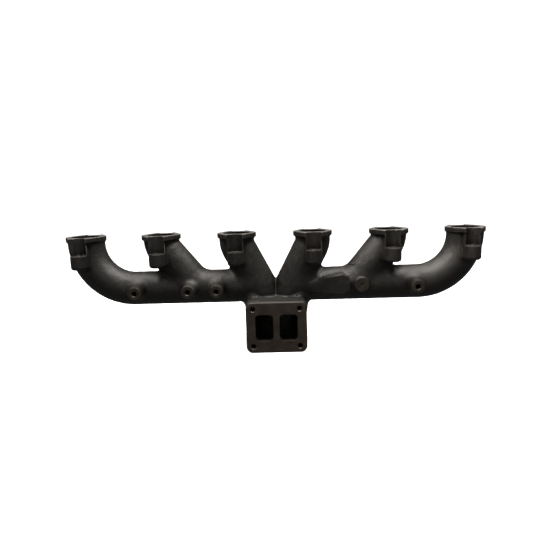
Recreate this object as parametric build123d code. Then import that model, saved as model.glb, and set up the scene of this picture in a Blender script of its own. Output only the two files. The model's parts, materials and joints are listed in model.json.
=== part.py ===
from build123d import *
import math
import os

# Cast-iron exhaust manifold for an in-line six-cylinder engine.
# The origin is the middle of the four bolt seats of ports 3 and 4.
# +X runs along the manifold, -Y points to the turbocharger, +Z points out of the ports.
# Shapes are drawn down from the port face at z = 0, and lifted to the origin when they are written.
# Every node is one region of the casting: neighbours meet face to face, and none overlap.

# ---- Driving dimensions, millimetres ----
port_pitch = 145.5
port_count = 6
pipe_radius = 32.3
passage_radius = 25.0
runner_radius = 33.3
runner_bore_radius = 24.0

# Port flanges: gasket lip, collar, and an ear with a bolt seat in front and behind
lip_radius = 36.9
lip_thickness = 8.0
port_bore_radius = 25.5
collar_bottom = 14.5  # where the elbows start to bend
ear_reach = 48.8
ear_half_width = 14.9
bolt_offset = 47.7
scallop_radius = 12.7
seat_depth = 31.4
ear_bottom = 52.3
bolt_hole_radius = 5.75

# Collecting log, elbows and leaning runners
elbow_radius = 88.5
elbow_start = collar_bottom
log_depth = elbow_start + elbow_radius
corner_depth = 24.0
corner_radius = 40.0
inner_lean = 27.5
outer_lean = 40.5
log_bore_gap = 12.0
log_split_x = 92.0
lean_by_port = {2: outer_lean, 3: inner_lean, 4: -inner_lean, 5: -outer_lean}
log_names = ["log_left", "log_middle_left", "log_middle_right", "log_right"]
drilled_names = ["runner_2", "log_left", "log_middle_left", "log_right"]

# Turbocharger outlet
face_reach = 78.4
face_depth = 169.4
turbo_width = 112.0
turbo_height = 95.0
turbo_thickness = 19.0
turbo_corner = 12.0
stud_spacing_x = 85.7
stud_spacing_z = 69.85
stud_hole_radius = 4.3
window_width = 32.8
window_height = 48.0
window_corner = 6.5
divider_thickness = 11.6
turn_y = -44.0
turn_z = -130.0
neck_half_width = 56.0
neck_wall = 8.0
lobe_radius = 36.0
lobe_x = 24.0
lobe_y = 2.0

# Probe bosses, the undrilled boss and the cast pad
probe_x = [-261.0, -162.3, -109.3, 261.0]
probe_reach = 64.0
probe_radius = 12.5
probe_root_radius = 25.0
probe_root_reach = 42.0
probe_hole_radius = 4.5
blank_x = 162.5
blank_reach = 37.0
blank_radius = 14.0
blank_depth = 101.5
pad_reach = 38.0
pad_outline = [
    (68, -117), (128, -121), (141, -112), (142.5, -97), (136.5, -84), (127, -79), (92, -85.5), (62, -97),
]
pad_edge_radius = 4.0
overcut = 1.0  # how far a cutting tool stands clear of the face that it starts from

# ---- Derived places ----
port_x = [(i - (port_count - 1) / 2) * port_pitch for i in range(port_count)]
log_end_x = port_x[-1] - elbow_radius
crotch_rise = port_pitch / 2 - runner_radius / math.cos(math.radians(inner_lean))
crotch_depth = corner_depth + crotch_rise / math.tan(math.radians(inner_lean))
duct_width = 2 * window_width + divider_thickness
turbo_back_y = turbo_thickness - face_reach
turn_inner_radius = face_depth - window_height / 2 + turn_z
turn_outer_radius = turn_inner_radius + window_height
turbo_top_z = turbo_height / 2 - face_depth
reach = 400.0


def box_between(x0, x1, y0, y1, z0, z1):
    """A box given by its lowest and highest corners."""
    centre = ((x0 + x1) / 2, (y0 + y1) / 2, (z0 + z1) / 2)
    return Pos(*centre) * Box(x1 - x0, y1 - y0, z1 - z0)


def upright(x, y, radius, z0, z1):
    """A cylinder along Z."""
    return Pos(x, y, (z0 + z1) / 2) * Cylinder(radius, z1 - z0)


def along_x(radius, x0, x1):
    """A cylinder on the log's axis."""
    return Pos((x0 + x1) / 2, 0, -log_depth) * Rot(0, 90, 0) * Cylinder(radius, x1 - x0)


def along_y(x, z, radius, y0, y1):
    """A cylinder along Y."""
    return Pos(x, (y0 + y1) / 2, z) * Rot(90, 0, 0) * Cylinder(radius, y1 - y0)


def elbow(x, side, radius):
    """A 90 degree bend from a port into the log; side is +1 where it turns towards +X."""
    disc = Pos(x, 0, -elbow_start) * Circle(radius)
    hinge = Axis((x + side * elbow_radius, 0, -elbow_start), (0, -side, 0))
    return revolve(disc, hinge, 90)


def leaning_pipe(x, lean, radius):
    """A runner that drops upright from its port, then bends over and leans down into the log."""
    side = math.copysign(1, lean)
    bend_top = corner_depth - corner_radius * math.tan(math.radians(abs(lean) / 2))
    disc = Pos(x, 0, -bend_top) * Circle(radius)
    hinge = Axis((x + side * corner_radius, 0, -bend_top), (0, -side, 0))
    pipe = upright(x, 0, radius, -bend_top, -lip_thickness) + revolve(disc, hinge, abs(lean))
    below_bend = Pos(0, 0, bend_top - corner_depth - reach / 2)
    straight = Pos(x, 0, -corner_depth) * Rot(0, -lean, 0) * below_bend * Cylinder(radius, reach)
    return (pipe + straight) & box_between(x - reach, x + reach, -reach, reach, -log_depth, 0)


def lip_plan():
    """Outline of the gasket lip: a ring drawn tangent to both ears, whose ends are cut square."""
    edges = Circle(lip_radius).edges()
    for side in (-1, 1):
        edges += (Pos(0, side * bolt_offset) * Circle(ear_half_width)).edges()
    return make_hull(edges) & Rectangle(4 * lip_radius, 2 * ear_reach)


def ear(x, side):
    """The column under the lip and the round bolt boss at its foot, on one side of a port."""
    y0, y1 = sorted((0, side * ear_reach))
    column = box_between(x - ear_half_width, x + ear_half_width, y0, y1, -seat_depth, -lip_thickness)
    y0, y1 = sorted((0, side * bolt_offset))
    web = box_between(x - ear_half_width, x + ear_half_width, y0, y1, -ear_bottom, -seat_depth)
    boss = upright(x, side * bolt_offset, ear_half_width, -ear_bottom, -seat_depth)
    return column + web + boss


def bolt_cut(x, side):
    """The open scallop above a bolt seat, and the bolt hole below it."""
    y = side * bolt_offset
    scallop = upright(x, y, scallop_radius, -seat_depth, overcut)
    hole = upright(x, y, bolt_hole_radius, -ear_bottom - overcut, -seat_depth)
    return scallop + hole


def port_flange(number):
    """Lip, collar and both ears of one port, cut clear of the pipe below the collar."""
    x = port_x[number - 1]
    body = Pos(x, 0, -lip_thickness) * extrude(lip_plan(), lip_thickness)
    body += collar_outer[number]
    for side in (-1, 1):
        body += ear(x, side)
    body -= pipe_outer[number] & under_collar
    body -= pipe_inner[number]
    body -= upright(x, 0, port_bore_radius, -lip_thickness, overcut)
    for side in (-1, 1):
        body -= bolt_cut(x, side)
    return body


def turbo_window(side):
    """A window through the turbocharger flange, side -1 left or +1 right."""
    x = side * (divider_thickness + window_width) / 2
    shape = Plane.XZ * RectangleRounded(window_width, window_height, window_corner)
    return extrude(Pos(x, -face_reach - overcut, -face_depth) * shape, -turbo_thickness - 2 * overcut)


def turbo_flange():
    """The divided rectangular flange, with two windows and four tapped holes."""
    outline = Plane.XZ * RectangleRounded(turbo_width, turbo_height, turbo_corner)
    plate = extrude(Pos(0, -face_reach, -face_depth) * outline, -turbo_thickness)
    for side in (-1, 1):
        plate -= turbo_window(side)
        for level in (-1, 1):
            x = side * stud_spacing_x / 2
            z = level * stud_spacing_z / 2 - face_depth
            plate -= along_y(x, z, stud_hole_radius, -face_reach - overcut, turbo_back_y + overcut)
    return plate


def crotch_notch():
    """The open V between runners 3 and 4, cut down into the top of the log."""
    rise = crotch_depth - lip_thickness
    half_width = rise * math.tan(math.radians(inner_lean))
    points = [(0, -crotch_depth), (half_width, -lip_thickness), (-half_width, -lip_thickness)]
    wedge = Plane.XZ * Polygon(*points, align=None)
    return extrude(wedge, 2 * pipe_radius, both=True)


def outlet_duct():
    """The gas space behind the flange: straight back, round a bend, and up into the log."""
    shape = Plane.XZ * RectangleRounded(duct_width, window_height, window_corner)
    straight = extrude(Pos(0, turbo_back_y, -face_depth) * shape, turbo_back_y - turn_y)
    hinge = Axis((0, turn_y, turn_z), (1, 0, 0))
    bend = revolve(Pos(0, turn_y, -face_depth) * shape, hinge, 90)
    half = duct_width / 2
    rise = box_between(-half, half, turn_y + turn_inner_radius, turn_y + turn_outer_radius, turn_z, -log_depth)
    return straight + bend + rise


def neck_block():
    """The neck's outside: level with the flange on top, curved behind, two lobes under the log."""
    rear_radius = turn_outer_radius + neck_wall
    rear_y = turn_y + rear_radius
    half = neck_half_width
    disc = Pos(0, turn_y, turn_z) * Rot(0, 90, 0) * Cylinder(rear_radius, 2 * half)
    bend = disc & box_between(-half, half, turn_y, rear_y, turn_z - rear_radius, turn_z)
    front = box_between(-half, half, turbo_back_y, turn_y, turn_z - rear_radius, turbo_top_z)
    top = box_between(-half, half, turn_y, rear_y, turn_z, turbo_top_z)
    block = front + bend + top
    for side in (-1, 1):
        block += upright(side * lobe_x, lobe_y, lobe_radius, turn_z, -log_depth)
    return block & box_between(-reach, reach, turbo_back_y, rear_y, -reach, 0)


def probe_boss(x):
    """A flared boss on the front of the log, tapped right through."""
    body = along_y(x, -log_depth, probe_radius, -probe_reach, 0)
    flare = Pos(x, -probe_root_reach / 2, -log_depth) * Rot(90, 0, 0)
    body += flare * Cone(probe_root_radius, probe_radius, probe_root_reach)
    return body - along_y(x, -log_depth, probe_hole_radius, -probe_reach - overcut, 0)


def cast_pad():
    """The flat pad on the front of the log, with its outer edge rounded."""
    outline = Plane.XZ * Polygon(*pad_outline, align=None)
    pad = extrude(Pos(0, -pad_reach, 0) * outline, -pad_reach)
    return fillet(pad.edges().group_by(Axis.Y)[0], pad_edge_radius)


# ---- Outer and inner shapes of every pipe ----
under_collar = box_between(-2 * reach, 2 * reach, -reach, reach, -reach, -collar_bottom)
pipe_outer = {}
pipe_inner = {}
collar_outer = {}
for number, x in enumerate(port_x, start=1):
    if number in lean_by_port:
        lean = lean_by_port[number]
        pipe_outer[number] = leaning_pipe(x, lean, runner_radius)
        pipe_inner[number] = leaning_pipe(x, lean, runner_bore_radius)
        collar_outer[number] = pipe_outer[number] - under_collar
    else:
        side = 1 if number == 1 else -1
        pipe_outer[number] = elbow(x, side, pipe_radius)
        bore = upright(x, 0, passage_radius, -elbow_start, -lip_thickness)
        pipe_inner[number] = elbow(x, side, passage_radius) + bore
        collar_outer[number] = upright(x, 0, pipe_radius, -collar_bottom, -lip_thickness)

notch = crotch_notch()
log_outer = along_x(pipe_radius, -log_end_x, log_end_x) - notch
log_inner = along_x(passage_radius, -log_end_x, -log_bore_gap)
log_inner += along_x(passage_radius, log_bore_gap, log_end_x)
duct = outlet_duct()
gas = log_inner + duct
for number in lean_by_port:
    gas += pipe_inner[number]
probe_holes = [along_y(x, -log_depth, probe_hole_radius, -probe_reach - overcut, 0) for x in probe_x]

# ---- The nodes ----
nodes = {}
for number in range(1, port_count + 1):
    nodes[f"port_flange_{number}"] = port_flange(number)

for number in (1, port_count):
    nodes[f"elbow_{number}"] = pipe_outer[number] - pipe_inner[number]
for number in lean_by_port:
    own_side = math.copysign(reach, port_x[number - 1])
    half_space = box_between(*sorted((0, own_side)), -reach, reach, -reach, reach)
    nodes[f"runner_{number}"] = (pipe_outer[number] & under_collar & half_space) - log_outer - gas

log_wall = log_outer - gas
splits = [-reach, -log_split_x, 0, log_split_x, reach]
for name, x0, x1 in zip(log_names, splits, splits[1:]):
    nodes[name] = log_wall & box_between(x0, x1, -reach, reach, -reach, reach)
for hole in probe_holes:
    for name in drilled_names:
        nodes[name] -= hole

half = divider_thickness / 2
slab = box_between(-half, half, -reach, reach, -reach, passage_radius - log_depth)
nodes["scroll_divider"] = (gas & slab) - notch
nodes["outlet_neck"] = neck_block() - log_outer - gas
nodes["turbo_flange"] = turbo_flange()

pipes = [log_outer] + list(pipe_outer.values())
on_log = {f"sensor_boss_{i}": probe_boss(x) for i, x in enumerate(probe_x, start=1)}
on_log["blank_boss"] = along_y(blank_x, -blank_depth, blank_radius, -blank_reach, 0)
on_log["log_pad"] = cast_pad()
for name, shape in on_log.items():
    for pipe in pipes:
        shape -= pipe
    nodes[name] = shape

os.makedirs("parts", exist_ok=True)
for name, shape in nodes.items():
    export_step(Pos(0, 0, seat_depth) * shape.solid(), f"parts/{name}.step")
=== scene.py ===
import json
import math
import bpy
import numpy as np
from mathutils import Matrix, Vector


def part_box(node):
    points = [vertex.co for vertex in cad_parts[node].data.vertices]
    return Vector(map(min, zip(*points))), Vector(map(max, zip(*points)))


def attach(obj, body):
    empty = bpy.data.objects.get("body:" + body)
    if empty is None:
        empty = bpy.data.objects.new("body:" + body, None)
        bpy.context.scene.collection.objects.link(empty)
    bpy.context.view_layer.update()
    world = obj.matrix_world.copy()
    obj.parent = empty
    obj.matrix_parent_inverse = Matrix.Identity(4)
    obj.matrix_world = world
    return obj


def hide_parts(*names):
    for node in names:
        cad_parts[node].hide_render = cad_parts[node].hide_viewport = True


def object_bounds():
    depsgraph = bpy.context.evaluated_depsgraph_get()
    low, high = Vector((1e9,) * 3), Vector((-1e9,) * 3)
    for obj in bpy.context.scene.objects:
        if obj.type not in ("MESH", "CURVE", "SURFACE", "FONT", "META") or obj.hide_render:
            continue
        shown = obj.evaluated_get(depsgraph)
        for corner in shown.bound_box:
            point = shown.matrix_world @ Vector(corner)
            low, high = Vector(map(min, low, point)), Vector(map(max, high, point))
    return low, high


# Cast-iron exhaust manifold. The casting is a distance field, drawn in millimetres with the port
# face at z = 0, as in the CAD. Each CAD node's region of it becomes one closed mesh, in metres.

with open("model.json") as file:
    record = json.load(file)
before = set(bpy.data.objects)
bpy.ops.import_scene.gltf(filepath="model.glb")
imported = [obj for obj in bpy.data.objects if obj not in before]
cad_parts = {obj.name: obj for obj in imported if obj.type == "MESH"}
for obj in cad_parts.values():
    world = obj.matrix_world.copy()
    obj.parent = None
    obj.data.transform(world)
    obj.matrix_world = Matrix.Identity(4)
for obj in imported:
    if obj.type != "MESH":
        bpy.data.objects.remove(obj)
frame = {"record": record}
cad_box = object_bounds()

MM = 0.001

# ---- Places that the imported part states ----
mounts = {m["name"]: m for m in frame["record"]["mounts"]}


def place(name):
    return np.array(mounts[name]["pos_m"]) / MM


def size(name, key):
    return mounts[name]["dims"][key]


FACE_Z = place("port_1")[2] + size("port_1", "length_mm") / 2
LIFT = np.array([0.0, 0.0, FACE_Z])
PORT_X = [place(f"port_{i}")[0] for i in range(1, 7)]
PORT_BORE = size("port_1", "r_mm")
LIP_THICKNESS = size("port_1", "length_mm")
BOLT_Y = size("head_bolts_3_4", "spacing_y_mm") / 2
BOLT_HOLE = size("head_bolts_3_4", "hole_r_mm")
SEAT_Z = (place("head_bolts_3_4") - LIFT)[2]
PROBES = [place(f"probe_{i}") - LIFT for i in range(1, 5)]
PROBE_HOLE = size("probe_1", "r_mm")
LOG_Z = PROBES[0][2]
TURBO_Y, TURBO_Z = (place("turbo_face") - LIFT)[1:]
STUD_X = size("turbo_studs", "spacing_x_mm") / 2
STUD_Z = size("turbo_studs", "spacing_y_mm") / 2
STUD_HOLE = size("turbo_studs", "hole_r_mm")


def node_box(name):
    low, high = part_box(name)
    return np.array(low) / MM - LIFT, np.array(high) / MM - LIFT


LIP_RADIUS = (node_box("port_flange_1")[1] - node_box("port_flange_1")[0])[0] / 2
EAR_BOTTOM = node_box("port_flange_1")[0][2]
EAR_RADIUS = node_box("port_flange_1")[1][1] - BOLT_Y
LOG_END = -node_box("log_left")[0][0]
LOG_SPLIT = -node_box("log_left")[1][0]
FLANGE_BACK_Y = node_box("turbo_flange")[1][1]
FLANGE_HALF = (node_box("turbo_flange")[1] - node_box("turbo_flange")[0]) / 2
DIVIDER_HALF = node_box("scroll_divider")[1][0]

# ---- Shape, millimetres ----
LOG_RADIUS = 32.3
ELBOW_TOP_RADIUS = 34.4
ELBOW_BEND = 91.0
RUNNER_RADIUS = 33.3
RUNNER_FOOT_RADIUS = 31.8
RUNNER_BEND = 40.0
RUNNER_CORNER_Z = -24.0
OUTER_LEAN, INNER_LEAN = math.radians(40.5), math.radians(27.5)
WALL, THINNEST_WALL = 7.6, 5.0
LOG_STOP = 22.0
EAR_REACH = 48.8
SCALLOP_RADIUS = 14.2
FLANGE_CORNER = 12.0
WINDOW_HALF_X, WINDOW_HALF_Z, WINDOW_CORNER = 16.4, 24.0, 8.5
TURN_Y, TURN_Z, TURN_RADIUS = -44.0, -130.0, 39.4
NECK_HALF, NECK_REAR_RADIUS, NECK_FOOT = 56.0, 71.4, 12.0
LOBE_X, LOBE_Y, LOBE_RADIUS, LOBE_Z = 24.0, 2.5, 35.5, -142.0
PROBE_RADIUS, PROBE_FLARE, PROBE_FLARE_LENGTH = 12.4, 8.5, 46.0
PROBE_TIP_Y = node_box("sensor_boss_1")[0][1]
BLANK_RADIUS, BLANK_Z = 14.0, -101.5
BLANK_X = (node_box("blank_boss")[0] + node_box("blank_boss")[1])[0] / 2
BLANK_Y = node_box("blank_boss")[0][1]
PAD_Y = node_box("log_pad")[0][1]
PAD_OUTLINE = [(68, -117), (128, -121), (141, -112), (142.5, -97), (136.5, -84), (127, -79), (92, -85.5),
               (62, -97)]
PAD_SLANT, PAD_SLANT_FROM, PAD_SLANT_LENGTH = 7.5, 112, 50
FAR = 1e3

# ---- Edge and fillet radii, and how softly pipes run together ----
PIPE_BLEND, PASSAGE_BLEND, HALVES_BLEND, WINDOW_BLEND = 10.0, 6.0, 5.0, 4.0
OUTER_RUNNER_TOE = 14.0
LIP_SIDE_EDGE, LIP_EDGE, COLUMN_EDGE, SEAT_EDGE, EAR_BOSS_ROUND, EAR_BOSS_DROP = 1.5, 1.2, 1.0, 0.8, 5.0, 5.0
LIP_FILLET, EAR_FILLET, PORT_FILLET = 2.5, 0.8, 5.0
NECK_TOP_EDGE, NECK_SIDE_EDGE, NECK_FOOT_EDGE, NECK_FOOT_INSET = 3.0, 9.0, 3.0, 1.5
NECK_FILLET, NECK_SIDE_FILLET, NECK_SIDE_FROM, NECK_SIDE_LENGTH = 4.0, 9.0, 26, 20
FLANGE_EDGE, FLANGE_FILLET = 2.4, 1.5
PROBE_EDGE, PROBE_FILLET = 1.0, 7.0
BLANK_EDGE, BLANK_FILLET, BLANK_PIP = 1.4, 2.5, 1.6
PAD_EDGE, PAD_FILLET = 3.5, 4.0
FACE_EDGE, CUT_EDGE, BORE_EDGE = 0.6, 0.5, 0.7
BOLT_CHAMFER, PROBE_COUNTERSINK, STUD_COUNTERSINK, STUD_STOP = 1.0, 1.2, 1.3, 1.5

# ---- Where the regions part ----
COLLAR_Z = node_box("elbow_1")[1][2]
EAR_SPLIT_Y = 36.0
EAR_SPLIT_Z = EAR_BOTTOM - 9.0
RUNNER_SPLIT_Z, RUNNER_SPLIT_X = -67.0, 115.5
FRONT_SPLIT_Y = -34.8
NECK_SPLIT_Z, NECK_REACH = -138.0, 74.0
PROBE_REACH, PAD_END = 26.0, 147.5


# ======== Distance fields: negative inside, lengths in millimetres ========
def melt(a, b, r):
    """Union with a round fillet of radius r."""
    return np.maximum(r, np.minimum(a, b)) - np.hypot(np.maximum(r - a, 0), np.maximum(r - b, 0))


def blend(a, b, k):
    """Softer union, for pipes that run into each other."""
    h = np.maximum(k - np.abs(a - b), 0) / k
    return np.minimum(a, b) - h * h * k / 4


def trim(a, b, r):
    """Intersection with a rounded edge of radius r."""
    return np.minimum(-r, np.maximum(a, b)) + np.hypot(np.maximum(r + a, 0), np.maximum(r + b, 0))


def slab(v, low, high):
    return np.maximum(low - v, v - high)


def round_rect(u, v, half_u, half_v, r):
    qu, qv = np.abs(u) - half_u + r, np.abs(v) - half_v + r
    return np.hypot(np.maximum(qu, 0), np.maximum(qv, 0)) + np.minimum(np.maximum(qu, qv), 0) - r


def capsule(x, y, z, start, end):
    """A straight pipe between (x, y, z, radius) and (x, y, z, radius), with round ends."""
    x0, y0, z0, r0 = start
    dx, dy, dz = end[0] - x0, end[1] - y0, end[2] - z0
    t = ((x - x0) * dx + (y - y0) * dy + (z - z0) * dz) / (dx * dx + dy * dy + dz * dz)
    t = np.clip(t, 0, 1)
    off = np.sqrt((x - x0 - t * dx) ** 2 + (y - y0 - t * dy) ** 2 + (z - z0 - t * dz) ** 2)
    return off - (r0 + (end[3] - r0) * t)


def bend(x, y, z, top_x, top_z, radius, angle, r0, r1):
    """A pipe that drops at top_x and turns towards x = 0, up to angle, in the plane y = 0."""
    u = x - (top_x - radius)
    w = top_z - z
    phi = np.arctan2(w, u)
    off = np.hypot(np.hypot(u, w) - radius, y) - (r0 + (r1 - r0) * np.clip(phi / angle, 0, 1))
    return np.where((phi >= 0) & (phi <= angle), off, FAR)


def runner(x, y, z, top_x, lean, r, foot_r):
    """A leaning runner of the right-hand half: upright, bent, then straight into the log."""
    tangent = RUNNER_BEND * math.tan(lean / 2)
    top_z = RUNNER_CORNER_Z + tangent
    foot_x = top_x - (RUNNER_CORNER_Z - LOG_Z) * math.tan(lean)
    low_x = top_x - tangent * math.sin(lean)
    low_z = RUNNER_CORNER_Z - tangent * math.cos(lean)
    d = capsule(x, y, z, (top_x, 0, 2, r), (top_x, 0, top_z, r))
    d = np.minimum(d, bend(x, y, z, top_x, top_z, RUNNER_BEND, lean, r, r))
    d = np.minimum(d, capsule(x, y, z, (low_x, 0, low_z, r), (foot_x, 0, LOG_Z, foot_r)))
    return d, foot_x


def half_pipes(x, y, z, thinner, log_stop):
    """Log, elbow and both runners of the right-hand half; thinner is 0 outside, or the wall."""
    top_z = LOG_Z + ELBOW_BEND
    r_log, r_top = LOG_RADIUS - thinner, ELBOW_TOP_RADIUS - thinner * 1.15
    end_x = PORT_X[5] - ELBOW_BEND
    main = capsule(x, y, z, (end_x, 0, LOG_Z, r_log), (log_stop + r_log, 0, LOG_Z, r_log))
    main = np.minimum(main, bend(x, y, z, PORT_X[5], top_z, ELBOW_BEND, math.pi / 2, r_top, r_log))
    main = np.minimum(main, capsule(x, y, z, (PORT_X[5], 0, 2, r_top), (PORT_X[5], 0, top_z, r_top)))
    r, foot = RUNNER_RADIUS - thinner * 1.2, RUNNER_FOOT_RADIUS - thinner
    outer, _ = runner(x, y, z, PORT_X[4], OUTER_LEAN, r, foot)
    outer = trim(outer, LOG_Z - z, OUTER_RUNNER_TOE)
    inner, foot_x = runner(x, y, z, PORT_X[3], INNER_LEAN, r, r)
    if thinner == 0:
        lobe = capsule(x, y, z, (foot_x, 0, LOG_Z, r), (LOBE_X, LOBE_Y, LOBE_Z, LOBE_RADIUS))
        inner = np.minimum(inner, lobe)
    k = PIPE_BLEND if thinner == 0 else PASSAGE_BLEND
    return blend(blend(main, outer, k), inner, k)


def duct_level(y, z):
    """Height across the outlet duct, measured from its middle as it turns from -Y to +Z."""
    turned = np.hypot(y - TURN_Y, z - TURN_Z) - TURN_RADIUS
    straight = TURN_Z - TURN_RADIUS - z
    risen = y - TURN_Y - TURN_RADIUS
    return np.where(y < TURN_Y, straight, np.where(z < TURN_Z, turned, risen))


def neck(x, y, z):
    a, b = y - TURN_Y, TURN_Z - z
    corner = np.where((a > 0) & (b > 0), np.hypot(a, b), np.maximum(a, b)) - NECK_REAR_RADIUS
    side = np.abs(x) - NECK_HALF
    profile = trim(corner, z - (TURBO_Z + FLANGE_HALF[2]), NECK_TOP_EDGE)
    d = trim(profile, side, NECK_SIDE_EDGE)
    back, under = y - FLANGE_BACK_Y, TURN_Z - NECK_REAR_RADIUS - z
    foot = NECK_FOOT - np.hypot(NECK_FOOT - back, NECK_FOOT - under)
    foot = np.maximum(foot, np.maximum(back, under) - NECK_FOOT)
    outline = round_rect(x, z - TURBO_Z, FLANGE_HALF[0] - NECK_FOOT_INSET, FLANGE_HALF[2] - NECK_FOOT_INSET,
                         FLANGE_CORNER)
    foot = trim(foot, np.maximum(outline, side), NECK_FOOT_EDGE)
    foot = np.maximum(foot, -1 - np.minimum(back, under))
    return np.maximum(np.minimum(d, foot), TURBO_Y + 6 - y)


def flange_plate(x, y, z):
    outline = round_rect(x, z - TURBO_Z, FLANGE_HALF[0], FLANGE_HALF[2], FLANGE_CORNER)
    return trim(outline, slab(y, TURBO_Y, FLANGE_BACK_Y), FLANGE_EDGE)


def lip_plan(dx, y):
    """Outline of the gasket lip: a ring and its two ears in one tangent outline."""
    px, py = np.abs(dx), np.abs(y)
    b = (LIP_RADIUS - EAR_RADIUS) / BOLT_Y
    a = math.sqrt(1 - b * b)
    k = -b * px + a * py
    side = a * px + b * py - LIP_RADIUS
    ends = np.where(k < 0, np.hypot(px, py) - LIP_RADIUS, np.hypot(px, py - BOLT_Y) - EAR_RADIUS)
    return np.where((k < 0) | (k > a * BOLT_Y), ends, side)


def port_iron(dx, y, z):
    """Lip and both ears of one port, before its bores are cut."""
    lip = trim(lip_plan(dx, y), np.abs(y) - EAR_REACH, LIP_SIDE_EDGE)
    lip = trim(lip, slab(z, -LIP_THICKNESS, 3), LIP_EDGE)
    column = trim(np.abs(dx) - EAR_RADIUS, np.abs(y) - EAR_REACH, COLUMN_EDGE)
    column = np.maximum(column, slab(z, EAR_BOTTOM + 6, -1))
    boss = np.hypot(dx, np.maximum(np.abs(y) - BOLT_Y, 0)) - EAR_RADIUS
    boss = trim(trim(boss, EAR_BOTTOM - EAR_BOSS_DROP - z, EAR_BOSS_ROUND), z - SEAT_Z, SEAT_EDGE)
    return melt(lip, melt(column, boss, EAR_FILLET), LIP_FILLET)


def port_cuts(dx, y, z):
    """Bolt holes, and the scallops that a socket needs above the seats."""
    off = np.hypot(dx, np.abs(y) - BOLT_Y)
    scallop = np.maximum(off - SCALLOP_RADIUS, SEAT_Z - z)
    chamfer = np.maximum((off - BOLT_HOLE - BOLT_CHAMFER + (SEAT_Z - z)) * math.sqrt(0.5), z - SEAT_Z - 1)
    hole = np.maximum(off - BOLT_HOLE, z - SEAT_Z - 1)
    return np.minimum(scallop, np.minimum(hole, chamfer))


def polygon(u, v, points):
    """Distance to a closed outline of straight sides."""
    best = np.full(u.shape, FAR)
    inside = np.zeros(u.shape, bool)
    for (u0, v0), (u1, v1) in zip(points, points[1:] + points[:1]):
        du, dv = u1 - u0, v1 - v0
        t = np.clip(((u - u0) * du + (v - v0) * dv) / (du * du + dv * dv), 0, 1)
        best = np.minimum(best, np.hypot(u - u0 - t * du, v - v0 - t * dv))
        if dv != 0:
            crosses = ((v0 > v) != (v1 > v)) & (u < u0 + (v - v0) * du / dv)
            inside ^= crosses
    return np.where(inside, -best, best)


def probe_boss(x, y, z, at_x):
    off = np.hypot(x - at_x, z - LOG_Z)
    grow = np.clip((y + PROBE_FLARE_LENGTH) / PROBE_FLARE_LENGTH, 0, 1)
    body = (off - PROBE_RADIUS - PROBE_FLARE * grow) * 0.98
    return trim(body, slab(y, PROBE_TIP_Y, 0), PROBE_EDGE)


def cast_waves(x, y, z):
    """The slight unevenness of a sand casting, a quarter of a millimetre at most."""
    waves = np.sin(x * 0.21 + 1.3 * np.sin(z * 0.13 + 0.7)) * np.sin(y * 0.24 + 0.9 * np.sin(x * 0.08))
    waves += 0.6 * np.sin(z * 0.33 + 1.1 * np.sin(y * 0.19 + 2.1) + 0.4) * np.sin(x * 0.37 + 1.9)
    return 0.11 * waves


def near(values, low, high):
    return values.max() > low and values.min() < high


def casting(x, y, z):
    """The whole casting's outside, with its cast surfaces."""
    ax = np.abs(x)
    d = half_pipes(ax, y, z, 0, LOG_STOP)
    if near(x, -70, 70):
        d = blend(d, half_pipes(-ax, y, z, 0, LOG_STOP), HALVES_BLEND)
        edge = np.clip((ax - NECK_SIDE_FROM) / NECK_SIDE_LENGTH, 0, 1)
        d = melt(d, neck(x, y, z), NECK_FILLET + NECK_SIDE_FILLET * edge * edge * (3 - 2 * edge))
    for px in PORT_X:
        if near(x, px - 60, px + 60) and z.max() > EAR_BOTTOM - 20:
            d = melt(d, port_iron(x - px, y, z), PORT_FILLET)
    for probe in PROBES:
        if near(x, probe[0] - 40, probe[0] + 40):
            d = melt(d, probe_boss(x, y, z, probe[0]), PROBE_FILLET)
    if near(x, BLANK_X - 30, BLANK_X + 30):
        off = np.hypot(x - BLANK_X, z - BLANK_Z)
        disc = trim(off - BLANK_RADIUS, slab(y, BLANK_Y, 0), BLANK_EDGE)
        disc = np.maximum(disc, BLANK_PIP - np.hypot(off - 1.0, y - BLANK_Y))
        d = melt(d, disc, BLANK_FILLET)
    if near(x, 40, 165):
        face = PAD_Y + PAD_SLANT * np.clip((PAD_SLANT_FROM - x) / PAD_SLANT_LENGTH, 0, 1) - y
        d = melt(d, trim(polygon(x, z, PAD_OUTLINE), np.maximum(face, y), PAD_EDGE), PAD_FILLET)
    return d + cast_waves(x, y, z)


def gas(x, y, z):
    """Everything that the exhaust gas fills, with the divider left standing."""
    ax = np.abs(x)
    d = half_pipes(ax, y, z, WALL, 12.0)
    for px in PORT_X:
        d = np.minimum(d, np.maximum(np.hypot(x - px, y) - PORT_BORE, -LIP_THICKNESS - z))
    if near(x, -60, 60):
        window = round_rect(ax - DIVIDER_HALF - WINDOW_HALF_X, duct_level(y, z), WINDOW_HALF_X, WINDOW_HALF_Z,
                            WINDOW_CORNER)
        d = blend(d, np.maximum(window, z - LOG_Z), WINDOW_BLEND)
        d = np.maximum(d, DIVIDER_HALF - ax)
    return d


def tapped_holes(x, y, z):
    """Probe holes into the log, and the four stud holes of the turbocharger flange."""
    d = np.full(x.shape, FAR)
    for probe in PROBES:
        off = np.hypot(x - probe[0], z - LOG_Z)
        countersink = (off - PROBE_HOLE - PROBE_COUNTERSINK + (y - PROBE_TIP_Y)) * math.sqrt(0.5)
        d = np.minimum(d, np.maximum(np.minimum(off - PROBE_HOLE, countersink), y))
    off = np.hypot(np.abs(x) - STUD_X, np.abs(z - TURBO_Z) - STUD_Z)
    countersink = (off - STUD_HOLE - STUD_COUNTERSINK + (y - TURBO_Y)) * math.sqrt(0.5)
    stud = np.maximum(np.minimum(off - STUD_HOLE, countersink), y - FLANGE_BACK_Y + STUD_STOP)
    return np.minimum(d, stud)


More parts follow.
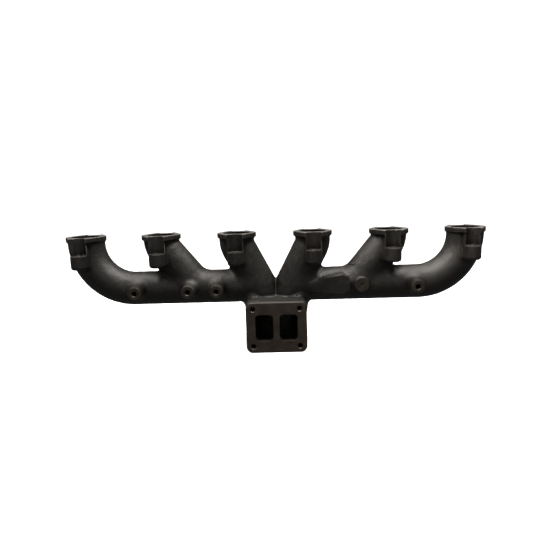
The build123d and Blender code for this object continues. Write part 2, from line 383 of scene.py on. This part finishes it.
def finished(x, y, z):
    """The casting with its machined faces, bores, holes and gas passages cut."""
    d = casting(x, y, z)
    if near(y, -200, FLANGE_BACK_Y + 12) and near(x, -70, 70):
        d = melt(d, flange_plate(x, y, z), FLANGE_FILLET)
    d = np.maximum(d, TURBO_Y - y)
    if z.max() > EAR_SPLIT_Z - 4:
        d = trim(d, z, FACE_EDGE)
        for px in PORT_X:
            if near(x, px - 60, px + 60):
                d = trim(d, -port_cuts(x - px, y, z), CUT_EDGE)
    space = gas(x, y, z)
    inland = (z < COLLAR_Z) & (y > FLANGE_BACK_Y)
    space = np.where(inland, np.maximum(space, d + THINNEST_WALL), space)
    d = trim(d, -space, BORE_EDGE)
    return np.maximum(d, -tapped_holes(x, y, z))


# ======== Regions, one for each CAD node ========
def port_region(x, y, z):
    ears = np.maximum(EAR_SPLIT_Y - np.abs(y), EAR_SPLIT_Z - z)
    return np.minimum(COLLAR_Z - z, ears)


def divider_region(x, y, z):
    d = np.maximum(np.abs(x) - DIVIDER_HALF, np.abs(duct_level(y, z)) - WINDOW_HALF_Z)
    return np.maximum(d, np.maximum(z - LOG_Z, FLANGE_BACK_Y - y))


def front_region(x, y, z, low, high):
    """What stands out from the front of the log between two places along it."""
    return np.maximum(np.maximum(y - FRONT_SPLIT_Y, z - RUNNER_SPLIT_Z), slab(x, low, high))


def neck_region(x, y, z):
    below = np.maximum(z - NECK_SPLIT_Z, np.abs(x) - NECK_REACH)
    return np.minimum(below, front_region(x, y, z, -NECK_REACH, NECK_REACH))


FRONTS = [(probe[0] - PROBE_REACH, probe[0] + PROBE_REACH) for probe in PROBES]
FRONTS += [(NECK_REACH, PAD_END), (PAD_END, BLANK_X + 22)]


def pipe_region(x, y, z):
    """All that is neither a port flange, nor the neck, nor a boss or pad."""
    d = np.maximum(-port_region(x, y, z), -neck_region(x, y, z))
    for low, high in FRONTS:
        if near(x, low, high):
            d = np.maximum(d, -front_region(x, y, z, low, high))
    return d


def log_region(x, y, z, low, high):
    d = np.maximum(np.maximum(slab(x, low, high), z - RUNNER_SPLIT_Z), pipe_region(x, y, z))
    if near(x, -DIVIDER_HALF, DIVIDER_HALF):
        d = np.maximum(d, -divider_region(x, y, z))
    return d


def runner_region(x, y, z, low, high):
    return np.maximum(np.maximum(slab(x, low, high), RUNNER_SPLIT_Z - z), pipe_region(x, y, z))


def elbow_region(x, y, z, side):
    return np.maximum(LOG_END - side * x, pipe_region(x, y, z))


def outlet_region(x, y, z):
    d = np.maximum(neck_region(x, y, z), FLANGE_BACK_Y - y)
    return np.maximum(d, -divider_region(x, y, z))


def flange_region(x, y, z):
    return y - FLANGE_BACK_Y


def regions():
    """name: (region field, its other arguments, lowest corner, highest corner, cell), in millimetres."""
    out = {}
    for i, px in enumerate(PORT_X, start=1):
        out[f"port_flange_{i}"] = (port_region, (), (px - 42, -67, EAR_SPLIT_Z - 2), (px + 42, 67, 2), 1.3)
    out["elbow_1"] = elbow_region, (-1,), (-402, -46, -140), (-LOG_END + 2, 46, COLLAR_Z + 2), 2.0
    out["elbow_6"] = elbow_region, (1,), (LOG_END - 2, -46, -140), (402, 46, COLLAR_Z + 2), 2.0
    spans = [(2, -LOG_END, -RUNNER_SPLIT_X), (3, -RUNNER_SPLIT_X, 0), (4, 0, RUNNER_SPLIT_X),
             (5, RUNNER_SPLIT_X, LOG_END)]
    for i, low, high in spans:
        grid_low, grid_high = max(low, PORT_X[i - 1] - 98) - 2, min(high, PORT_X[i - 1] + 98) + 2
        out[f"runner_{i}"] = (runner_region, (low, high), (grid_low, -46, RUNNER_SPLIT_Z - 2),
                              (grid_high, 46, COLLAR_Z + 2), 1.9)
    spans = [("log_left", -LOG_END, -LOG_SPLIT), ("log_middle_left", -LOG_SPLIT, 0),
             ("log_middle_right", 0, LOG_SPLIT), ("log_right", LOG_SPLIT, LOG_END)]
    for name, low, high in spans:
        out[name] = (log_region, (low, high), (low - 2, -60, -141), (high + 2, 44, RUNNER_SPLIT_Z + 2), 1.9)
    out["outlet_neck"] = outlet_region, (), (-76, FLANGE_BACK_Y - 2, -220), (76, 40, RUNNER_SPLIT_Z + 2), 1.8
    out["turbo_flange"] = (flange_region, (), (-60, TURBO_Y - 2, TURBO_Z - 52),
                           (60, FLANGE_BACK_Y + 2, TURBO_Z + 52), 1.35)
    out["scroll_divider"] = (divider_region, (), (-DIVIDER_HALF - 2, FLANGE_BACK_Y - 2, -200),
                             (DIVIDER_HALF + 2, 30, LOG_Z + 2), 1.8)
    names = [f"sensor_boss_{i}" for i in range(1, 5)] + ["log_pad", "blank_boss"]
    for name, (low, high) in zip(names, FRONTS):
        out[name] = (front_region, (low, high), (low - 2, PROBE_TIP_Y - 2, -136),
                     (high + 2, FRONT_SPLIT_Y + 2, RUNNER_SPLIT_Z + 2), 1.15)
    return out


# ======== From a field to a mesh, by dual contouring ========
def gradient(field, p, step=0.02):
    """Unit normal of the field at points p, from four samples round each."""
    total = np.zeros_like(p)
    for corner in ((1, -1, -1), (-1, -1, 1), (-1, 1, -1), (1, 1, 1)):
        q = p + step * np.array(corner)
        total += field(q[:, 0], q[:, 1], q[:, 2])[:, None] * np.array(corner)
    return total / np.maximum(np.linalg.norm(total, axis=1, keepdims=True), 1e-12)


def crossings(field, value, axes, k):
    """Where grid edges along axis k meet the surface: their low corners, points and which way."""
    low = [slice(None)] * 3
    high = [slice(None)] * 3
    low[k], high[k] = slice(None, -1), slice(1, None)
    a, b = value[tuple(low)], value[tuple(high)]
    where = np.argwhere((a < 0) != (b < 0))
    start = np.stack([axes[n][where[:, n]] for n in range(3)], 1)
    length = axes[k][1] - axes[k][0]
    va, vb = a[tuple(where.T)].astype(float), b[tuple(where.T)].astype(float)
    outward = va < 0
    ta, tb = np.zeros(len(where)), np.ones(len(where))
    for _ in range(5):
        t = ta + (tb - ta) * np.clip(va / (va - vb), 0.08, 0.92)
        p = start.copy()
        p[:, k] += t * length
        v = field(p[:, 0], p[:, 1], p[:, 2])
        first = (v < 0) == outward
        ta, va = np.where(first, t, ta), np.where(first, v, va)
        tb, vb = np.where(first, tb, t), np.where(first, vb, v)
    p = start.copy()
    p[:, k] += (ta + (tb - ta) * va / (va - vb)) * length
    return where, p, outward


def contour(field, low, high, cell):
    """Vertices, quads and which vertices sit on an edge, for the zero surface of a field."""
    axes = [np.arange(low[n], high[n] + cell, cell) for n in range(3)]
    shape = tuple(len(a) for a in axes)
    value = np.empty(shape)
    y, z = np.meshgrid(axes[1], axes[2], indexing="ij")
    rows = max(1, int(60000 / y.size))
    for first in range(0, shape[0], rows):
        xs = axes[0][first:first + rows]
        x3 = np.repeat(xs, y.size)
        found = field(x3, np.tile(y.ravel(), len(xs)), np.tile(z.ravel(), len(xs)))
        value[first:first + rows] = found.reshape(len(xs), *y.shape)
    edge_points, edge_normals, rings = [], [], []
    strides = np.array([shape[1] * shape[2], shape[2], 1])
    for k in range(3):
        where, p, outward = crossings(field, value, axes, k)
        u, v = np.eye(3, dtype=int)[(k + 1) % 3], np.eye(3, dtype=int)[(k + 2) % 3]
        around = ((1, 1), (0, 1), (0, 0), (1, 0))
        ring = np.stack([(where - du * u - dv * v) @ strides for du, dv in around], 1)
        ring[~outward] = ring[~outward][:, ::-1]
        rings.append(ring)
        edge_points.append(p)
        edge_normals.append(gradient(field, p))
    rings, p, n = np.concatenate(rings), np.concatenate(edge_points), np.concatenate(edge_normals)
    ids, compact = np.unique(rings, return_inverse=True)
    compact = compact.reshape(rings.shape)
    cells, flat = len(ids), compact.ravel()

    def gather(values):
        return np.bincount(flat, np.repeat(values, 4), cells)

    count = gather(np.ones(len(p)))
    middle = np.stack([gather(p[:, a]) for a in range(3)], 1) / count[:, None]
    outer = np.stack([np.stack([gather(n[:, a] * n[:, b]) for b in range(3)], 1) for a in range(3)], 1)
    plane = (n * p).sum(1)
    right = np.stack([gather(n[:, a] * plane) for a in range(3)], 1) - np.einsum("cij,cj->ci", outer, middle)
    w, axes3 = np.linalg.eigh(outer)
    keep = w > 0.06 * w[:, 2:]
    step = np.einsum("cji,cj->ci", axes3, right)
    step = np.where(keep, step / np.where(keep, w, 1), 0)
    vertex = middle + np.einsum("cij,cj->ci", axes3, step)
    corner = np.stack(np.unravel_index(ids, shape), 1) * cell + np.array([a[0] for a in axes])
    vertex = np.clip(vertex, corner - 0.02 * cell, corner + 1.02 * cell)
    return vertex, compact, keep.sum(1) > 1


def piece(name, region, arguments, low, high, cell):
    """One region of the finished casting as a closed mesh with the field's own normals."""
    def field(x, y, z):
        return np.maximum(finished(x, y, z), region(x, y, z, *arguments))

    scale = 1.0
    vertex, quads, on_edge = contour(field, low, high, cell * scale)
    mesh = bpy.data.meshes.new(name)
    mesh.vertices.add(len(vertex))
    mesh.vertices.foreach_set("co", ((vertex + LIFT) * MM).ravel())
    mesh.loops.add(quads.size)
    mesh.loops.foreach_set("vertex_index", quads.ravel())
    mesh.polygons.add(len(quads))
    mesh.polygons.foreach_set("loop_start", np.arange(0, quads.size, 4))
    mesh.update(calc_edges=True)
    normal = gradient(field, vertex)
    corner_normal = normal[quads].reshape(-1, 3)
    sharp = on_edge[quads].ravel()
    centre = vertex[quads].mean(1)
    nudged = vertex[quads].reshape(-1, 3)[sharp] * 0.7 + np.repeat(centre, 4, axis=0)[sharp] * 0.3
    corner_normal[sharp] = gradient(field, nudged)
    mesh.polygons.foreach_set("use_smooth", np.ones(len(quads), bool))
    mesh.normals_split_custom_set(corner_normal.tolist())
    mesh.polygons.foreach_set("material_index", surface_kind(*centre.T))
    outward = gradient(finished, vertex)
    # wear: how thin the iron is just inside each point; the second attribute: how closed in the space is just
    # outside it, which the material turns into painted shade in corners
    for label, depth in (("wear", -2.2), ("occlusion_shade", 18.0)):
        probe = vertex + outward * depth
        seen = finished(probe[:, 0], probe[:, 1], probe[:, 2])
        amount = np.clip(1 - seen / depth, 0, 1)
        mesh.attributes.new(label, "FLOAT", "POINT").data.foreach_set("value", amount)
    obj = bpy.data.objects.new("cast_" + name, mesh)
    bpy.context.scene.collection.objects.link(obj)
    return obj


# ======== Surfaces ========
def surface_kind(x, y, z):
    """0 as cast, 1 machined, 2 inside a gas passage or a tapped hole, 3 a bolt seat."""
    kind = np.zeros(len(x), np.int32)
    flat = 0.35
    machined = np.abs(z) < flat
    machined |= np.abs(y - TURBO_Y) < flat
    machined |= (np.abs(y - PROBE_TIP_Y) < flat) & (z > LOG_Z - 20) & (np.abs(x) > NECK_REACH)
    machined |= (np.abs(y - BLANK_Y) < flat) & (np.abs(x - BLANK_X) < BLANK_RADIUS)
    kind[machined] = 1
    kind[(np.abs(z - SEAT_Z) < flat) & (np.abs(y) > EAR_SPLIT_Y)] = 3
    hole = tapped_holes(x, y, z) < 0.4
    mouth = (y < TURBO_Y + 2.2) | (np.abs(y - PROBE_TIP_Y) < 2.2)
    kind[hole & mouth] = 1
    kind[hole & ~mouth] = 2
    below = casting(x, y, z) < -2.0
    kind[(gas(x, y, z) < 0.8) & (below | (y < FLANGE_BACK_Y + 8))] = 2
    kind[finished(x, y, z) < -0.8] = 2
    return kind


class Shader:
    """A material being drawn: node(kind, inputs, settings) adds a node and wires or sets its inputs."""

    def __init__(self, name):
        self.material = bpy.data.materials.new(name)
        self.material.use_nodes = True
        self.tree = self.material.node_tree
        self.tree.nodes.clear()

    def node(self, kind, inputs=None, **settings):
        made = self.tree.nodes.new(kind)
        for key, value in settings.items():
            setattr(made, key, value)
        for key, value in (inputs or {}).items():
            socket = made.inputs[key]
            if isinstance(value, bpy.types.NodeSocket):
                self.tree.links.new(value, socket)
            else:
                socket.default_value = value
        return made

    def noise(self, where, scale, detail=4.0, roughness=0.55):
        return self.node("ShaderNodeTexNoise", {"Vector": where, "Scale": scale, "Detail": detail,
                                                "Roughness": roughness}).outputs[0]

    def ramp(self, value, low, high, to_low=0.0, to_high=1.0):
        return self.node("ShaderNodeMapRange", {"Value": value, "From Min": low, "From Max": high,
                                                "To Min": to_low, "To Max": to_high}).outputs[0]

    def times(self, a, b):
        return self.node("ShaderNodeMath", {0: a, 1: b}, operation="MULTIPLY", use_clamp=True).outputs[0]

    def plus(self, a, b):
        return self.node("ShaderNodeMath", {0: a, 1: b}, operation="ADD").outputs[0]

    def mix(self, amount, a, b):
        return self.node("ShaderNodeMix", {0: amount, 6: a, 7: b}, data_type="RGBA").outputs[2]


def cast_iron(name, dark, pale, rust, sand, gloss, worn, shine=0.5):
    """Sand-cast iron: mottled colour, grains that catch the light, bright worn edges, and painted shade in
    corners: darker colour and lower shine where the casting is closed in.
    """
    m = Shader(name)
    where = m.node("ShaderNodeTexCoord").outputs["Object"]
    broad = m.noise(where, 22.0, 5.0)
    fine = m.noise(where, 260.0, 6.0, 0.65)
    grains = m.node("ShaderNodeTexVoronoi", {"Vector": where, "Scale": 900.0}).outputs["Distance"]
    color = m.mix(m.ramp(broad, 0.35, 0.68), dark, pale)
    color = m.mix(m.times(m.ramp(m.noise(where, 55.0, 6.0, 0.7), 0.56, 0.72), 0.55), color, rust)
    color = m.mix(m.ramp(fine, 0.6, 0.42, 0.0, 0.45), color, (0.004, 0.004, 0.004, 1))
    wear = m.node("ShaderNodeAttribute", attribute_name="wear").outputs["Fac"]
    occlusion_shade = m.node("ShaderNodeAttribute", attribute_name="occlusion_shade").outputs["Fac"]
    edge = m.times(m.ramp(wear, 0.12, 0.5), m.ramp(fine, 0.38, 0.6))
    color = m.mix(m.times(edge, 0.28), color, worn)
    # Painted shade: the colour darkens, and on the next line the shine drops, where the closed-in attribute
    # is high (corners, creases, pockets under the ears)
    color = m.mix(m.ramp(occlusion_shade, 0.3, 0.95, 0.0, 0.55), color, (0.004, 0.0036, 0.003, 1))
    shine = m.ramp(occlusion_shade, 0.3, 0.95, shine, shine * 0.4)
    rough = m.ramp(m.plus(broad, m.times(fine, 0.6)), 0.5, 1.1, gloss - 0.08, gloss + 0.12)
    bump = m.node("ShaderNodeBump", {"Height": grains, "Strength": sand, "Distance": 0.0004})
    bump = m.node("ShaderNodeBump", {"Height": fine, "Strength": sand * 1.4, "Distance": 0.0007,
                                     "Normal": bump.outputs[0]})
    bump = m.node("ShaderNodeBump", {"Height": m.noise(where, 70.0, 5.0), "Strength": sand,
                                     "Distance": 0.0016, "Normal": bump.outputs[0]})
    surface = m.node("ShaderNodeBsdfPrincipled", {"Base Color": color, "Roughness": rough, "Metallic": 0.0,
                                                  "Specular IOR Level": shine, "Normal": bump.outputs[0]})
    m.node("ShaderNodeOutputMaterial", {"Surface": surface.outputs[0]})
    return m.material


def machined_iron(name, tone, pale, rust):
    """A milled face that has gone dull: fine tool marks, stains and a little rust."""
    m = Shader(name)
    where = m.node("ShaderNodeTexCoord").outputs["Object"]
    stains = m.noise(where, 60.0, 6.0, 0.6)
    fine = m.noise(where, 500.0, 5.0, 0.7)
    marks = m.node("ShaderNodeTexWave", {"Vector": where, "Scale": 260.0, "Distortion": 1.5, "Detail": 2.0},
                   bands_direction="DIAGONAL").outputs["Fac"]
    color = m.mix(m.ramp(stains, 0.35, 0.65), tone, pale)
    color = m.mix(m.times(m.ramp(fine, 0.5, 0.7), 0.6), color, rust)
    rough = m.ramp(stains, 0.3, 0.7, 0.34, 0.5)
    bump = m.node("ShaderNodeBump", {"Height": marks, "Strength": 0.12, "Distance": 0.0002})
    bump = m.node("ShaderNodeBump", {"Height": fine, "Strength": 0.25, "Distance": 0.0003,
                                     "Normal": bump.outputs[0]})
    surface = m.node("ShaderNodeBsdfPrincipled", {"Base Color": color, "Roughness": rough, "Metallic": 0.35,
                                                  "Normal": bump.outputs[0]})
    m.node("ShaderNodeOutputMaterial", {"Surface": surface.outputs[0]})
    return m.material


DARK, PALE = (0.0120, 0.0103, 0.0086, 1), (0.027, 0.0235, 0.0195, 1)
RUST, WORN = (0.036, 0.024, 0.015, 1), (0.085, 0.077, 0.066, 1)
iron = cast_iron("cast_iron", DARK, PALE, RUST, 0.5, 0.46, WORN)
# Painted shade: gas passages and tapped holes get a darker, barely shiny iron in place of the shade inside
# them
shaded_passage = cast_iron("painted_shade_passage_iron", (0.0080, 0.0070, 0.0062, 1), (0.0150, 0.0130, 0.0110, 1), DARK, 0.4, 0.8,
                  DARK, 0.08)
port_face = machined_iron("port_face_iron", (0.11, 0.105, 0.098, 1), (0.19, 0.182, 0.17, 1), RUST)
turbo_face = machined_iron("turbo_face_iron", (0.047, 0.037, 0.028, 1), (0.077, 0.060, 0.045, 1),
                           (0.080, 0.048, 0.030, 1))
# Painted shade: the bolt seats under the lips are drawn much darker than the other milled faces, in place of
# their shade
shaded_seat_face = machined_iron("painted_shade_seat_iron", (0.020, 0.018, 0.015, 1), (0.040, 0.036, 0.030, 1), RUST)
boss_face = machined_iron("boss_face_iron", (0.030, 0.025, 0.019, 1), (0.055, 0.045, 0.034, 1), RUST)

for name, (region, arguments, low, high, cell) in regions().items():
    made = piece(name, region, arguments, np.array(low, float), np.array(high, float), cell)
    face = boss_face if "boss" in name else port_face if name.startswith("port") else turbo_face
    for material in (iron, face, shaded_passage, shaded_seat_face):
        made.data.materials.append(material)
    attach(made, "root")
    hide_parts(name)

# ======== Camera ========
CAMERA_AT = np.array([16.774, -1037.800, 89.323])
CAMERA_YAW, CAMERA_DOWN, CAMERA_ROLL = (math.radians(a) for a in (-0.99919, 9.51535, -1.68807))
LENS = 35.417

forward = Vector((math.sin(CAMERA_YAW) * math.cos(CAMERA_DOWN), math.cos(CAMERA_YAW) * math.cos(CAMERA_DOWN),
                  -math.sin(CAMERA_DOWN)))
level = Vector((math.cos(CAMERA_YAW), -math.sin(CAMERA_YAW), 0))
above = level.cross(forward)
right = level * math.cos(CAMERA_ROLL) + above * math.sin(CAMERA_ROLL)
upward = -level * math.sin(CAMERA_ROLL) + above * math.cos(CAMERA_ROLL)
lens = bpy.data.cameras.new("camera")
lens.lens, lens.sensor_width = LENS, 36.0
camera = bpy.data.objects.new("camera", lens)
camera.matrix_world = Matrix.Translation(Vector((CAMERA_AT + LIFT) * MM)) @ Matrix(
    (right, upward, -forward)).transposed().to_4x4()
bpy.context.scene.collection.objects.link(camera)
bpy.context.scene.camera = camera


# ======== Pale floor and soft studio light ========
def lamp(name, at, aim, wide, high, watts, tint=(1, 1, 1), spread=180.0):
    light = bpy.data.lights.new(name, "AREA")
    light.shape, light.size, light.size_y = "RECTANGLE", wide, high
    light.spread = math.radians(spread)
    light.energy, light.color = watts, tint
    made = bpy.data.objects.new(name, light)
    made.location = at
    made.rotation_euler = (Vector(aim) - Vector(at)).to_track_quat("-Z", "Y").to_euler()
    made.visible_camera = False
    bpy.context.scene.collection.objects.link(made)
    return made


floor_z = cad_box[0][2]
ground = bpy.data.meshes.new("floor")
FLOOR_REACH = 9.0
corners = [(u * FLOOR_REACH, v * FLOOR_REACH, floor_z) for u, v in ((-1, -1), (1, -1), (1, 1), (-1, 1))]
ground.from_pydata(corners, [], [(0, 1, 2, 3)])
floor = bpy.data.objects.new("floor", ground)
bpy.context.scene.collection.objects.link(floor)
paper = Shader("paper")
grain = paper.noise(paper.node("ShaderNodeTexCoord").outputs["Object"], 3.0, 3.0)
tone = paper.mix(grain, (0.94, 0.94, 0.94, 1), (0.97, 0.97, 0.97, 1))
sheet = paper.node("ShaderNodeBsdfPrincipled", {"Base Color": tone, "Roughness": 1.0,
                                                "Specular IOR Level": 0.0, "Emission Color": (1, 1, 1, 1),
                                                "Emission Strength": 1.0})
paper.node("ShaderNodeOutputMaterial", {"Surface": sheet.outputs[0]})
ground.materials.append(paper.material)
floor.visible_diffuse = floor.visible_glossy = False

world = bpy.data.worlds.new("studio")
bpy.context.scene.world = world
world.use_nodes = True
nodes, links = world.node_tree.nodes, world.node_tree.links
nodes.clear()
ray = nodes.new("ShaderNodeLightPath")
strength = nodes.new("ShaderNodeMapRange")
strength.inputs["To Min"].default_value, strength.inputs["To Max"].default_value = 0.10, 1.05
links.new(ray.outputs["Is Camera Ray"], strength.inputs["Value"])
backdrop = nodes.new("ShaderNodeBackground")
backdrop.inputs["Color"].default_value = (1, 1, 1, 1)
links.new(strength.outputs[0], backdrop.inputs["Strength"])
links.new(backdrop.outputs[0], nodes.new("ShaderNodeOutputWorld").inputs[0])

WARM = (1.0, 0.965, 0.925)
lamp("overhead", (-0.05, 0.25, 1.45), (0, 0, 0), 2.6, 0.5, 29, WARM)
lamp("overhead left", (-0.70, -0.30, 1.45), (-0.2, 0, 0), 0.5, 0.35, 16, WARM)
lamp("overhead right", (0.47, -0.30, 1.45), (0.1, 0, 0), 0.7, 0.35, 25, WARM)
lamp("right elbow", (-0.30, -0.62, 1.0), (0.33, 0, -0.04), 0.25, 0.25, 0.16, WARM, 15.0)
lamp("front", (-0.1, -1.6, 0.5), (0, 0, -0.1), 1.2, 0.5, 2.6, WARM)

bpy.context.scene.view_settings.view_transform = "Standard"

bpy.context.view_layer.update()
